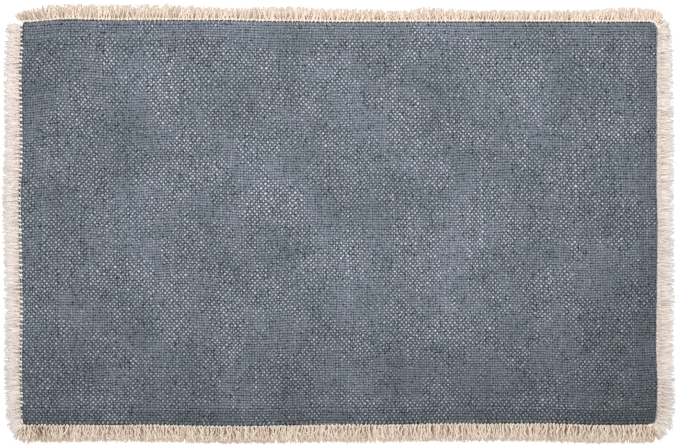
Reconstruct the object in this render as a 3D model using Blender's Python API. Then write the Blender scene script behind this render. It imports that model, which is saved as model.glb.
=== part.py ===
"""Fringed placemat: a thick plain-woven cotton panel, hemmed along its two long sides,
with a length of cut cotton fringe sewn along each of its four edges.

Metres, +Z up. The mat lies face up on Z = 0 with its long side along X and its origin under
the middle of its whole outline. Far is the +Y long side, and near is the -Y one.
"""
import math
import random
from collections import namedtuple

import bmesh
import bpy
from mathutils import Matrix, Vector

# ---------------------------------------------------------------- driving dimensions
PANEL_LENGTH = 0.472        # woven panel along X
PANEL_WIDTH = 0.298         # woven panel along Y
PANEL_SHIFT = 0.0014        # the near fringe is the longer one, so the panel sits this far back
CLOTH_THICK = 0.0018        # two heavy cotton yarns crossing
HEM_DEPTH = 0.0106          # cloth turned under along the far and near sides
LAYER_GAP = 0.0003          # air between the panel and its turned-under hem
HEM_RAMP = 0.0090           # where the panel comes down off its hem to the table
LEFT_CORNER = 0.0024        # plan radius of the two left corners
RIGHT_CORNER = 0.0052       # the two right corners are worn rounder

SEAM_GAP = 0.0003           # between the cloth's edge and a fringe's heading
HEADING_WIDTH = 0.0017      # woven heading that holds the fringe's roots
HEADING_HEIGHT = 0.0024
LOCK_PITCH = 0.0054         # one lock stands for three or four of the real yarns
ROOT_FILL = 0.82            # of the pitch that a lock's root takes up
FAN_LINE = 0.0080           # how far out of the cloth's edge the pitch is measured
END_JITTER = 0.0008         # how unevenly the locks' ends are cut
LEAN_JITTER = 5.0           # degrees from one lock to the next
CURL_JITTER = 12.0          # degrees between a lock's two halves
LOCK_SEED = 11

PANEL_COLUMNS = 60          # steps along the panel
PANEL_ROWS = 32             # steps across it between its hems
TURN_STEPS = 4              # steps round a hem's fold
RAMP_STEPS = 3
EDGE_STEP = 0.008           # spacing of the points along an edge
CORNER_STEPS = 6
LEVEL_TOLERANCE = 0.000001

BLUE_GREY = (0.158, 0.180, 0.214)
RAW_COTTON = (0.760, 0.640, 0.525)

# A row for each place where an edge of the cloth wanders: along is measured from the side's
# middle, clockwise seen from above, and out is how far it stands outside its straight line.
Bend = namedtuple("Bend", "along out")
FAR_BENDS = (
    Bend(-0.234, -0.0008), Bend(-0.202, 0.0012), Bend(-0.166, 0.0007), Bend(-0.096, 0.0007),
    Bend(-0.040, -0.0002), Bend(0.000, -0.0007), Bend(0.080, -0.0005), Bend(0.234, -0.0007),
)
RIGHT_BENDS = (
    Bend(-0.150, 0.0000), Bend(-0.030, -0.0001), Bend(0.003, 0.0006), Bend(0.050, 0.0000),
    Bend(0.092, -0.0006), Bend(0.121, 0.0005), Bend(0.150, -0.0007),
)
NEAR_BENDS = (
    Bend(-0.234, -0.0002), Bend(-0.195, 0.0002), Bend(-0.150, -0.0009), Bend(-0.100, -0.0007),
    Bend(0.000, 0.0000), Bend(0.080, 0.0010), Bend(0.150, 0.0001), Bend(0.234, 0.0002),
)
LEFT_BENDS = (
    Bend(-0.150, -0.0010), Bend(-0.115, 0.0000), Bend(-0.060, -0.0003), Bend(-0.025, 0.0004),
    Bend(0.012, 0.0010), Bend(0.060, -0.0003), Bend(0.110, 0.0005), Bend(0.150, -0.0010),
)

# A row for each change in a fringe: reach is how far its cut ends stand out of the cloth's
# edge, and lean is how far its locks turn from square, in degrees, clockwise from above.
Cut = namedtuple("Cut", "along reach lean")
FAR_CUTS = (
    Cut(-0.240, 0.0098, -34), Cut(-0.228, 0.0112, -20), Cut(-0.212, 0.0128, -5),
    Cut(-0.130, 0.0130, 2), Cut(-0.080, 0.0104, 4), Cut(-0.045, 0.0124, -2),
    Cut(0.000, 0.0114, 5), Cut(0.050, 0.0098, 3), Cut(0.066, 0.0120, -4),
    Cut(0.100, 0.0102, 6), Cut(0.180, 0.0102, 8), Cut(0.216, 0.0122, 0),
    Cut(0.236, 0.0112, 0), Cut(0.248, 0.0096, 6),
)
RIGHT_CUTS = (
    Cut(-0.146, 0.0112, 0), Cut(-0.120, 0.0128, 0), Cut(-0.060, 0.0138, 3),
    Cut(0.000, 0.0130, -2), Cut(0.060, 0.0138, 2), Cut(0.110, 0.0138, 4),
    Cut(0.136, 0.0146, 10), Cut(0.150, 0.0154, 16),
)
NEAR_CUTS = (
    Cut(-0.244, 0.0132, -6), Cut(-0.225, 0.0148, -4), Cut(-0.200, 0.0148, 3),
    Cut(-0.120, 0.0142, -3), Cut(0.000, 0.0142, 3), Cut(0.100, 0.0140, -2),
    Cut(0.180, 0.0136, 4), Cut(0.226, 0.0140, 6), Cut(0.244, 0.0138, 4),
)
LEFT_CUTS = (
    Cut(-0.152, 0.0124, -6), Cut(-0.138, 0.0130, -12), Cut(-0.100, 0.0132, -4),
    Cut(-0.030, 0.0132, 3), Cut(0.035, 0.0140, -3), Cut(0.090, 0.0134, 2),
    Cut(0.125, 0.0132, 0), Cut(0.150, 0.0124, -2),
)

# A row for each side, clockwise from above: the way it faces in degrees, half its length, how
# far it lies from the panel's middle, the corner after it, its two tables, and where its
# fringe begins and stops. The far and near fringes turn the corners, and the far left corner
# is left bare.
Side = namedtuple("Side", "name faces half out corner bends cuts begins stops")
SIDES = (
    Side("far", 90, PANEL_LENGTH / 2, PANEL_WIDTH / 2, RIGHT_CORNER,
         FAR_BENDS, FAR_CUTS, -0.2374, 0.2485),
    Side("right", 0, PANEL_WIDTH / 2, PANEL_LENGTH / 2, RIGHT_CORNER,
         RIGHT_BENDS, RIGHT_CUTS, -0.1440, 0.1500),
    Side("near", -90, PANEL_LENGTH / 2, PANEL_WIDTH / 2, LEFT_CORNER,
         NEAR_BENDS, NEAR_CUTS, -0.2440, 0.2446),
    Side("left", 180, PANEL_WIDTH / 2, PANEL_LENGTH / 2, LEFT_CORNER,
         LEFT_BENDS, LEFT_CUTS, -0.1508, 0.1466),
)

# A row for each section of a lock, from its root to its cut end: at is the part of its length,
# fill is how much of the room between its neighbours it takes, crown is how wide its top is
# against its foot, and height is its top above the table.
Section = namedtuple("Section", "at fill crown height")
LOCK_SECTIONS = (Section(0.50, 0.84, 0.56, 0.0021), Section(1.0, 0.44, 0.60, 0.0009))

# A row for each station across the panel: the hem that it belongs to, and the inset from that
# edge and the height of the cloth's back and of its face there.
Station = namedtuple("Station", "side back_inset back_height face_inset face_height")


# ---------------------------------------------------------------- scene and materials
def clear_scene():
    for item in list(bpy.data.objects):
        bpy.data.objects.remove(item, do_unlink=True)


def cotton(name, colour, roughness):
    material = bpy.data.materials.new(name)
    material.use_nodes = True
    shader = material.node_tree.nodes["Principled BSDF"]
    shader.inputs["Base Color"].default_value = (*colour, 1.0)
    shader.inputs["Roughness"].default_value = roughness
    shader.inputs["Metallic"].default_value = 0.0
    return material


def add_piece(name, form, material, collection):
    bmesh.ops.recalc_face_normals(form, faces=form.faces)
    mesh = bpy.data.meshes.new(name)
    form.to_mesh(mesh)
    form.free()
    mesh.materials.append(material)
    piece = bpy.data.objects.new(name, mesh)
    collection.objects.link(piece)


# ---------------------------------------------------------------- the panel's outline
def ease(t):
    return t * t * (3 - 2 * t)


def read(table, along, column):
    """One column of a table at a place along its side, eased from row to row."""
    for before, after in zip(table, table[1:]):
        if along < after.along:
            t = ease(max(0.0, (along - before.along) / (after.along - before.along)))
            return (1 - t) * getattr(before, column) + t * getattr(after, column)
    return getattr(table[-1], column)


def facing(degrees):
    return Vector((math.cos(math.radians(degrees)), math.sin(math.radians(degrees))))


def neighbour(side, step):
    return SIDES[(SIDES.index(side) + step) % len(SIDES)]


def straight(side):
    """The edge of one side between its two corners, clockwise."""
    begin = neighbour(side, -1).corner - side.half
    end = side.half - side.corner
    steps = PANEL_COLUMNS if side.half > side.out else round((end - begin) / EDGE_STEP)
    places = [begin + (end - begin) * i / steps for i in range(steps + 1)]
    run = facing(side.faces - 90)
    middle = Vector((0, PANEL_SHIFT))
    return [middle + run * s + facing(side.faces) * (side.out + read(side.bends, s, "out"))
            for s in places]


def corner(side):
    """The quarter round after a side, without its two ends."""
    begin = straight(side)[-1]
    end = straight(neighbour(side, 1))[0]
    face = facing(side.faces)
    centre = begin - face * (begin - end).dot(face)
    angles = [math.pi / 2 * i / CORNER_STEPS for i in range(1, CORNER_STEPS)]
    return [centre + (begin - centre) * math.cos(a) + (end - centre) * math.sin(a) for a in angles]


class Edge:
    """The closed edge of the panel. Places on it are measured along a line in mid-fringe, so
    that the locks which fan out round a corner keep the spacing that they have along a side."""

    def __init__(self, fan_line):
        self.points = []
        first = {}
        for side in SIDES:
            first[side.name] = len(self.points)
            self.points += straight(side) + corner(side)
        count = len(self.points)
        self.outward = []
        for i in range(count):
            chord = self.points[(i + 1) % count] - self.points[i - 1]
            self.outward.append(Vector((-chord.y, chord.x)).normalized())
        ring = [p + n * fan_line for p, n in zip(self.points, self.outward)]
        self.marks = [0.0]
        for i in range(count):
            self.marks.append(self.marks[-1] + (ring[(i + 1) % count] - ring[i]).length)
        self.middles = {side.name: self.marks[first[side.name]] + side.half - neighbour(side, -1).corner
                        for side in SIDES}

    def place(self, side, along):
        """The point of the cloth's edge at a place along a fringe, and the way it faces."""
        mark = (self.middles[side.name] + along) % self.marks[-1]
        i = max(k for k, start in enumerate(self.marks[:-1]) if start <= mark)
        t = (mark - self.marks[i]) / (self.marks[i + 1] - self.marks[i])
        j = (i + 1) % len(self.points)
        return self.points[i].lerp(self.points[j], t), self.outward[i].lerp(self.outward[j], t).normalized()


# ---------------------------------------------------------------- the woven panel
def hem_stations(side):
    """The cloth from a hem's raw edge, round its fold and up, to where it is down on the table."""
    under = (HEM_DEPTH, 0.55 * HEM_DEPTH)
    stations = [Station(side, inset, CLOTH_THICK, inset, 0.0) for inset in under]
    inner = LAYER_GAP / 2
    outer = inner + CLOTH_THICK
    for step in range(TURN_STEPS + 1):
        angle = math.pi * step / TURN_STEPS
        stations.append(Station(side, outer - inner * math.sin(angle), outer - inner * math.cos(angle),
                                outer - outer * math.sin(angle), outer - outer * math.cos(angle)))
    lift = CLOTH_THICK + LAYER_GAP
    over = (0.32 * HEM_DEPTH, 0.5 * HEM_DEPTH)
    stations += [Station(side, inset, lift, inset, lift + CLOTH_THICK) for inset in over]
    for step in range(RAMP_STEPS + 1):
        height = lift * (1 - ease(step / RAMP_STEPS))
        inset = HEM_DEPTH + HEM_RAMP * step / RAMP_STEPS
        stations.append(Station(side, inset, height, inset, height + CLOTH_THICK))
    return stations


def crossing(line, axis, value):
    """The other coordinate of a line of points, ordered along an axis, where it crosses a value."""
    pairs = sorted((point[axis], point[1 - axis]) for point in line)
    value = min(max(value, pairs[0][0]), pairs[-1][0])
    for (a, low), (b, high) in zip(pairs, pairs[1:]):
        if value <= b:
            return low + (high - low) * (value - a) / (b - a) if b > a else high
    return pairs[-1][1]


def woven_panel():
    """One cloth: a slab of columns and stations, bent through its two hems."""
    far, right, near, left = SIDES
    near_hem = hem_stations(near)
    far_hem = hem_stations(far)[::-1]
    flat = [None] * (PANEL_ROWS - 1)
    stations = near_hem + flat + far_hem
    lines = {"far": straight(far), "near": straight(near)}
    right_line = lines["far"][-1:] + corner(far) + straight(right) + corner(right) + lines["near"][:1]
    left_line = lines["near"][-1:] + corner(near) + straight(left) + corner(left) + lines["far"][:1]

    def hem_y(station, inset, x):
        away = 1 if station.side is far else -1
        return crossing(lines[station.side.name], 0, x) - away * inset

    def place(column, row, on_face):
        u = column / PANEL_COLUMNS
        guess = lines["far"][0].x + (lines["far"][-1].x - lines["far"][0].x) * u
        station = stations[row]
        if station:
            inset = station.face_inset if on_face else station.back_inset
            y = hem_y(station, inset, guess)
            z = station.face_height if on_face else station.back_height
        else:
            t = (row - len(near_hem) + 1) / PANEL_ROWS
            low = hem_y(near_hem[-1], near_hem[-1].face_inset, guess)
            high = hem_y(far_hem[0], far_hem[0].face_inset, guess)
            y = low + (high - low) * t
            z = CLOTH_THICK if on_face else 0.0
        start = crossing(left_line, 1, y)
        end = crossing(right_line, 1, y)
        return Vector((start + (end - start) * u, y, z))

    form = bmesh.new()
    rows = len(stations) - 1
    bmesh.ops.create_grid(form, x_segments=PANEL_COLUMNS, y_segments=rows, size=1.0)
    sheet = form.faces[:]
    raised = bmesh.ops.extrude_face_region(form, geom=sheet, use_keep_orig=True)["geom"]
    top = {item for item in raised if isinstance(item, bmesh.types.BMVert)}
    for vert in form.verts:
        column = round((vert.co.x + 1) / 2 * PANEL_COLUMNS)
        row = round((vert.co.y + 1) / 2 * rows)
        vert.co = place(column, row, vert in top)
    join_level_faces(form)
    return form


def join_level_faces(form):
    """The stretches that lie level, on the flat and in the hems, become one face each."""
    for height in sorted({round(vert.co.z, 6) for vert in form.verts}):
        level = [face for face in form.faces
                 if all(abs(vert.co.z - height) < LEVEL_TOLERANCE for vert in face.verts)]
        bmesh.ops.dissolve_faces(form, faces=level)


# ---------------------------------------------------------------- the cut fringe
class Lock:
    """A bundle of the fringe's yarns: where it leaves the heading, and its two halves' ways."""

    def __init__(self, edge, side, along, chance):
        self.side = side
        self.along = along
        point, outward = edge.place(side, along)
        lean = read(side.cuts, along, "lean") + chance.uniform(-LEAN_JITTER, LEAN_JITTER)
        curl = chance.uniform(-CURL_JITTER, CURL_JITTER)
        reach = read(side.cuts, along, "reach") + chance.uniform(-END_JITTER, END_JITTER)
        root = SEAM_GAP + HEADING_WIDTH
        self.spine = [point + outward * root]
        self.ways = [turned(outward, lean)]
        done = 0.0
        for section, turn in zip(LOCK_SECTIONS, (lean, lean + curl)):
            way = turned(outward, turn)
            self.spine.append(self.spine[-1] + way * (reach - root) * (section.at - done))
            self.ways.append(way)
            done = section.at

    def room(self, others, index):
        """How far off the nearest neighbour's spine lies, square to this lock."""
        across = turned(self.ways[index], 90)
        return min(abs((other.spine[index] - self.spine[index]).dot(across)) for other in others)


def turned(way, degrees):
    """A direction turned clockwise, seen from above."""
    return Matrix.Rotation(-math.radians(degrees), 2) @ way


def fringe_locks(edge):
    """Every lock round the mat, in order, at an even pitch along each fringe."""
    chance = random.Random(LOCK_SEED)
    locks = []
    for side in SIDES:
        count = round((side.stops - side.begins) / LOCK_PITCH)
        pitch = (side.stops - side.begins) / count
        locks += [Lock(edge, side, side.begins + (i + 0.5) * pitch, chance) for i in range(count)]
    return locks


def heading_with_locks(edge, side, locks):
    """A fringe: its heading, swept along the cloth's edge, with each lock drawn out of it."""
    mine = [lock for lock in locks if lock.side is side]
    half_root = ROOT_FILL * (mine[1].along - mine[0].along) / 2
    places = [side.begins]
    for lock in mine:
        places += [lock.along - half_root, lock.along + half_root]
    places.append(side.stops)

    form = bmesh.new()
    last = len(places) - 1
    bmesh.ops.create_grid(form, x_segments=last, y_segments=1, size=1.0)
    sheet = form.faces[:]
    raised = bmesh.ops.extrude_face_region(form, geom=sheet, use_keep_orig=True)["geom"]
    top = {item for item in raised if isinstance(item, bmesh.types.BMVert)}
    stops = {}
    for vert in form.verts:
        index = round((vert.co.x + 1) / 2 * last)
        is_outer = vert.co.y > 0
        point, outward = edge.place(side, places[index])
        plan = point + outward * (SEAM_GAP + (HEADING_WIDTH if is_outer else 0.0))
        stops[vert] = (index, is_outer)
        vert.co = Vector((plan.x, plan.y, HEADING_HEIGHT if vert in top else 0.0))
    roots = {}
    for face in form.faces:
        columns = {stops[vert][0] for vert in face.verts}
        if all(stops[vert][1] for vert in face.verts) and len(columns) == 2 and min(columns) % 2:
            roots[min(columns) // 2] = face

    for index, face in roots.items():
        lock = mine[index]
        order = locks.index(lock)
        others = (locks[order - 1], locks[(order + 1) % len(locks)])
        for number, section in enumerate(LOCK_SECTIONS, start=1):
            across = turned(lock.ways[number], 90)
            middle = face.calc_center_median()
            width = section.fill * min(lock.room(others, number), LOCK_PITCH)
            face = bmesh.ops.extrude_discrete_faces(form, faces=[face])["faces"][0]
            for vert in face.verts:
                hand = math.copysign(0.5, (vert.co - middle).xy.dot(across))
                is_top = vert.co.z > middle.z
                plan = lock.spine[number] + across * hand * width * (section.crown if is_top else 1.0)
                vert.co = Vector((plan.x, plan.y, section.height if is_top else 0.0))
    return form


# ---------------------------------------------------------------- the placemat
def build_placemat():
    clear_scene()
    placemat = bpy.data.collections.new("fringed_placemat")
    bpy.context.scene.collection.children.link(placemat)
    add_piece("mat", woven_panel(), cotton("blue_grey_cotton", BLUE_GREY, 0.92), placemat)
    edge = Edge(FAN_LINE)
    locks = fringe_locks(edge)
    for side in SIDES:
        material = cotton("raw_cotton_" + side.name, RAW_COTTON, 0.95)
        add_piece("fringe_" + side.name, heading_with_locks(edge, side, locks), material, placemat)


build_placemat()
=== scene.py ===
import bisect
import math
import random
from collections import namedtuple

import bmesh
import bpy
import numpy as np
from mathutils import Matrix, Vector, noise
from mathutils.bvhtree import BVHTree


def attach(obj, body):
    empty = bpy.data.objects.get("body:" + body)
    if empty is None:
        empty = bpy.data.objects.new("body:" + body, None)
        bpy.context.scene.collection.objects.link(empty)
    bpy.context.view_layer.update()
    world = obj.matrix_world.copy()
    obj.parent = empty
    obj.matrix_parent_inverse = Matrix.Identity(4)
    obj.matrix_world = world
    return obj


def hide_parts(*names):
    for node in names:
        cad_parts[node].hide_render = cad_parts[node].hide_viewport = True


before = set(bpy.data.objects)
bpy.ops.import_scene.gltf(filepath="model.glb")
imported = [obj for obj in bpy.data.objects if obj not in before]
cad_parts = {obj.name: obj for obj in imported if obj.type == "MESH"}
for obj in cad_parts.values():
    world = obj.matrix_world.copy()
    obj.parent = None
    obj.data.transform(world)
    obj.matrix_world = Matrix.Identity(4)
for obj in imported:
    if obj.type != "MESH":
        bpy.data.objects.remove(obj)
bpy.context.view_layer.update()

# ------------------------ camera
# The mat lies face up and is seen from straight above through a long lens, so that it fills
# the picture from fringe to fringe.
PICTURE_WIDTH = 0.506  # of the mat's face that the picture takes in
PICTURE_CENTRE = (0.0008, 0.0006)
FACE_LEVEL = 0.0018
LENS = 100.0
FILM = 36.0

view = bpy.data.cameras.new("camera")
view.lens = LENS
view.sensor_width = FILM
view.clip_start = 0.01
view.clip_end = 10.0
camera = bpy.data.objects.new("camera", view)
camera.location = (*PICTURE_CENTRE, FACE_LEVEL + PICTURE_WIDTH * LENS / FILM)
bpy.context.scene.collection.objects.link(camera)
bpy.context.scene.camera = camera


# ------------------------ woven panel
# One cloth of thick cotton yarns in plain weave, dyed blue-grey and stonewashed until its high
# yarns turned pale. Both long sides are turned under as hems; the short sides are selvedges.
PANEL_LENGTH = 0.472
PANEL_WIDTH = 0.298
PANEL_SHIFT = 0.0014  # how far the panel sits back of the mat's middle
LEFT_CORNER = 0.0024  # how far a corner's wear reaches along its sides
RIGHT_CORNER = 0.0052
CORNER_STEPS = 6
EDGE_STEP = 0.008

CLOTH_THICK = 0.0018
WEAVE_RELIEF = 0.0002  # how far each crossing stands above or below the cloth's middle
LAYER_GAP = 0.0003  # between the two layers of a hem
HEM_DEPTH = 0.0106
HEM_RAMP = 0.0090  # over which the cloth comes down from its hem to the table
FOLD_BEND = (CLOTH_THICK + LAYER_GAP) / 2  # the radius of a fold, at the cloth's middle
FOLD_INSET = CLOTH_THICK + LAYER_GAP / 2  # how far its centre lies inside the folded edge
HEM_UNDER = HEM_DEPTH - FOLD_INSET  # the flat part of a hem's lower layer
HEM_RUN = 2 * HEM_UNDER + math.pi * FOLD_BEND + HEM_RAMP  # from a raw edge to level cloth
WARP_ENDS = 275
PICKS = 168
FOLD_PICK = 4  # the last pick before a fold
FOLD_ROWS = (0.6, 1.33, 1.67, 2.4)  # extra rows round the fold, in picks past that one
WARP_WANDER = 0.0010  # how far a yarn wanders sideways
WEFT_WANDER = 0.0003
WANDER_PACE = (0.04, 0.83)  # how quickly the wander changes along a yarn and from yarn to yarn
STEADY_ENDS = 6  # warp ends next to a selvedge, where it fades away
DRIFT = 0.0016  # how far the whole grain drifts
DRIFT_PACE = (0.035, 0.030)
COCKLE = 0.0004  # how far the cloth lifts off the table between its edges
COCKLE_PACE = (14.0, 17.0)
FAR_BULGE = 0.0009  # how far the soft back of the far fold stands out of the hem's line
NEAR_BULGE = 0.0008
SELVEDGE_BULGE = 0.0002  # how far the right selvedge lies out of its line

# How far out of a side's straight line its edge lies at a place along it.
Bend = namedtuple("Bend", "along out")
# A side: the way it faces in degrees, half its length, how far out of the middle it lies, the
# corner that follows it clockwise, and its bends.
Side = namedtuple("Side", "name faces half out corner bends")


def rows_of(kind, *rows):
    return [kind(*row) for row in rows]


FAR = Side("far", 90, PANEL_LENGTH / 2, PANEL_WIDTH / 2, RIGHT_CORNER, rows_of(
    Bend, (-0.234, -0.0008), (-0.202, 0.0012), (-0.166, 0.0007), (-0.096, 0.0007),
    (-0.040, -0.0002), (0.000, -0.0007), (0.080, -0.0005), (0.234, -0.0007)))
RIGHT = Side("right", 0, PANEL_WIDTH / 2, PANEL_LENGTH / 2, RIGHT_CORNER, rows_of(
    Bend, (-0.150, 0.0000), (-0.030, -0.0001), (0.003, 0.0006), (0.050, 0.0000),
    (0.092, -0.0006), (0.121, 0.0005), (0.150, -0.0007)))
NEAR = Side("near", -90, PANEL_LENGTH / 2, PANEL_WIDTH / 2, LEFT_CORNER, rows_of(
    Bend, (-0.234, -0.0002), (-0.195, 0.0002), (-0.150, -0.0009), (-0.100, -0.0007),
    (0.000, 0.0000), (0.080, 0.0010), (0.150, 0.0001), (0.234, 0.0002)))
LEFT = Side("left", 180, PANEL_WIDTH / 2, PANEL_LENGTH / 2, LEFT_CORNER, rows_of(
    Bend, (-0.150, -0.0010), (-0.115, 0.0000), (-0.060, -0.0003), (-0.025, 0.0004),
    (0.012, 0.0010), (0.060, -0.0003), (0.110, 0.0005), (0.150, -0.0010)))
SIDES = (FAR, RIGHT, NEAR, LEFT)  # clockwise from above

# How close the yarns lie against their mean, along the cloth and from its near side to its far.
Closeness = namedtuple("Closeness", "along share")
CLOSENESS_SAMPLES = 2001
WARP_CLOSENESS = rows_of(
    Closeness, (-0.207, 0.966), (-0.155, 1.003), (-0.104, 1.003), (-0.053, 0.985),
    (-0.001, 0.994), (0.050, 1.031), (0.101, 1.075), (0.145, 0.975), (0.204, 0.968))
PICK_CLOSENESS = rows_of(
    Closeness, (-0.130, 1.030), (-0.060, 1.010), (0.060, 1.000), (0.122, 0.940))


def ease(t):
    return t * t * (3 - 2 * t)


def read(rows, along, column):
    """One column of a table at a place along its side, eased from row to row."""
    for before, after in zip(rows, rows[1:]):
        if along < after.along:
            t = ease(max(0.0, (along - before.along) / (after.along - before.along)))
            return (1 - t) * getattr(before, column) + t * getattr(after, column)
    return getattr(rows[-1], column)


def facing(degrees):
    return Vector((math.cos(math.radians(degrees)), math.sin(math.radians(degrees))))


def neighbour(side, step):
    return SIDES[(SIDES.index(side) + step) % len(SIDES)]


def straight(side):
    """The edge of one side between its two corners, clockwise."""
    begin = neighbour(side, -1).corner - side.half
    end = side.half - side.corner
    steps = round((end - begin) / EDGE_STEP)
    run = facing(side.faces - 90)
    places = [begin + (end - begin) * i / steps for i in range(steps + 1)]
    return [Vector((0, PANEL_SHIFT)) + run * s
            + facing(side.faces) * (side.out + read(side.bends, s, "out")) for s in places]


def corner(side):
    """The quarter round after a side, without its two ends."""
    begin = straight(side)[-1]
    end = straight(neighbour(side, 1))[0]
    face = facing(side.faces)
    centre = begin - face * (begin - end).dot(face)
    angles = [math.pi / 2 * i / CORNER_STEPS for i in range(1, CORNER_STEPS)]
    return [centre + (begin - centre) * math.cos(a) + (end - centre) * math.sin(a)
            for a in angles]


def line_at(points, axis, values):
    """The other coordinate of a line of points at values along one axis."""
    pairs = sorted((point[axis], point[1 - axis]) for point in points)
    return np.interp(values, [pair[0] for pair in pairs], [pair[1] for pair in pairs])


def selvedge(side):
    """A short side's whole edge, with the corners at its two ends."""
    before, after = neighbour(side, -1), neighbour(side, 1)
    return (straight(before)[-1:] + corner(before) + straight(side) + corner(side)
            + straight(after)[:1])


def hem_profile(run):
    """The cloth's middle at a run from a hem's raw edge: its inset from the folded edge, its
    height, and how far its face has turned over from lying face down."""
    turn = np.clip((run - HEM_UNDER) / FOLD_BEND, 0, math.pi)
    past = np.clip(run - HEM_UNDER - math.pi * FOLD_BEND, 0, None)
    inset = np.maximum(FOLD_INSET, HEM_DEPTH - run) - FOLD_BEND * np.sin(turn) + past
    ramp = ease(np.clip((inset - HEM_DEPTH) / HEM_RAMP, 0, 1)) * (past > 0)
    height = CLOTH_THICK / 2 + FOLD_BEND * (1 - np.cos(turn)) - 2 * FOLD_BEND * ramp
    return inset, height, turn


def spaced(shares, half, closeness):
    """Shares of a width moved to where a table of closeness puts them."""
    places = np.linspace(-half, half, CLOSENESS_SAMPLES)
    close = np.array([read(closeness, place, "share") for place in places])
    counted = np.concatenate([[0.0], np.cumsum((close[1:] + close[:-1]) / 2)])
    return np.interp(shares, counted / counted[-1], np.linspace(0, 1, CLOSENESS_SAMPLES))


def smooth_noise(places, pace, seed):
    """Perlin noise from -1 to 1 at each row of places, each axis at its own pace."""
    return np.array([noise.noise((x * pace[0], y * pace[1], seed)) for x, y in places])


def woven_cloth():
    """A grid with a row for each pick and a column for each warp end, bent through both hems."""
    level = PANEL_WIDTH - 2 * (HEM_DEPTH + HEM_RAMP)
    pitch = (2 * HEM_RUN + level) / PICKS
    folds = [FOLD_PICK + row for row in FOLD_ROWS]
    rows = sorted([float(row) for row in range(PICKS + 1)] + folds
                  + [PICKS - row for row in folds])

    form = bmesh.new()
    bmesh.ops.create_grid(form, x_segments=WARP_ENDS - 1, y_segments=len(rows) - 1, size=1.0)
    mesh = bpy.data.meshes.new("woven_panel")
    form.to_mesh(mesh)
    form.free()
    flat = np.empty(len(mesh.vertices) * 3)
    mesh.vertices.foreach_get("co", flat)
    flat = flat.reshape(-1, 3)
    warp = np.rint((flat[:, 0] + 1) / 2 * (WARP_ENDS - 1))
    pick = np.array(rows)[np.rint((flat[:, 1] + 1) / 2 * (len(rows) - 1)).astype(int)]

    run = pick * pitch
    total = PICKS * pitch
    share = spaced(warp / (WARP_ENDS - 1), PANEL_LENGTH / 2, WARP_CLOSENESS)
    guess = (share - 0.5) * PANEL_LENGTH
    is_near = run < total / 2
    inset, height, turn = hem_profile(np.minimum(run, total - run))
    near_line = line_at(straight(NEAR), 0, guess)
    far_line = line_at(straight(FAR), 0, guess)
    low = near_line + HEM_DEPTH + HEM_RAMP
    high = far_line - HEM_DEPTH - HEM_RAMP
    level_share = (run - HEM_RUN) / (total - 2 * HEM_RUN)
    across = low + (high - low) * spaced(level_share, level / 2, PICK_CLOSENESS)
    in_hem = np.minimum(run, total - run) < HEM_RUN
    y = np.where(in_hem, np.where(is_near, near_line + inset, far_line - inset), across)

    grain = np.stack([warp, pick], 1)
    fade = np.clip(np.minimum(np.minimum(warp, WARP_ENDS - 1 - warp) / STEADY_ENDS,
                              np.minimum(run, total - run) / HEM_RUN), 0, 1)
    y += fade * (WEFT_WANDER * smooth_noise(grain, WANDER_PACE, 9.3)
                 + DRIFT * smooth_noise(grain, DRIFT_PACE, 5.1))
    left_line = line_at(selvedge(LEFT), 1, y)
    right_line = line_at(selvedge(RIGHT), 1, y)
    x = left_line + (right_line + SELVEDGE_BULGE - left_line) * share
    x += fade * (WARP_WANDER * smooth_noise(grain, WANDER_PACE[::-1], 2.7)
                 + DRIFT * smooth_noise(grain, DRIFT_PACE[::-1], 7.9))

    relief = WEAVE_RELIEF * np.cos(math.pi * (warp + pick))
    bulge = np.where(is_near, relief + NEAR_BULGE, -relief - FAR_BULGE)
    y -= bulge * np.sin(turn)
    lift = COCKLE * fade * (0.5 + 0.5 * smooth_noise(np.stack([x, y], 1), COCKLE_PACE, 1.9))
    z = height - relief * np.cos(turn) + lift
    mesh.vertices.foreach_set("co", np.stack([x, y, z], 1).ravel())

    corners = np.empty(len(mesh.loops), np.int32)
    mesh.loops.foreach_get("vertex_index", corners)
    threads = mesh.uv_layers.new(name="threads")
    threads.uv.foreach_set("vector", grain[corners].astype(np.float32).ravel())
    mesh.polygons.foreach_set("use_smooth", np.ones(len(mesh.polygons), bool))
    mesh.update()
    return mesh


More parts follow.
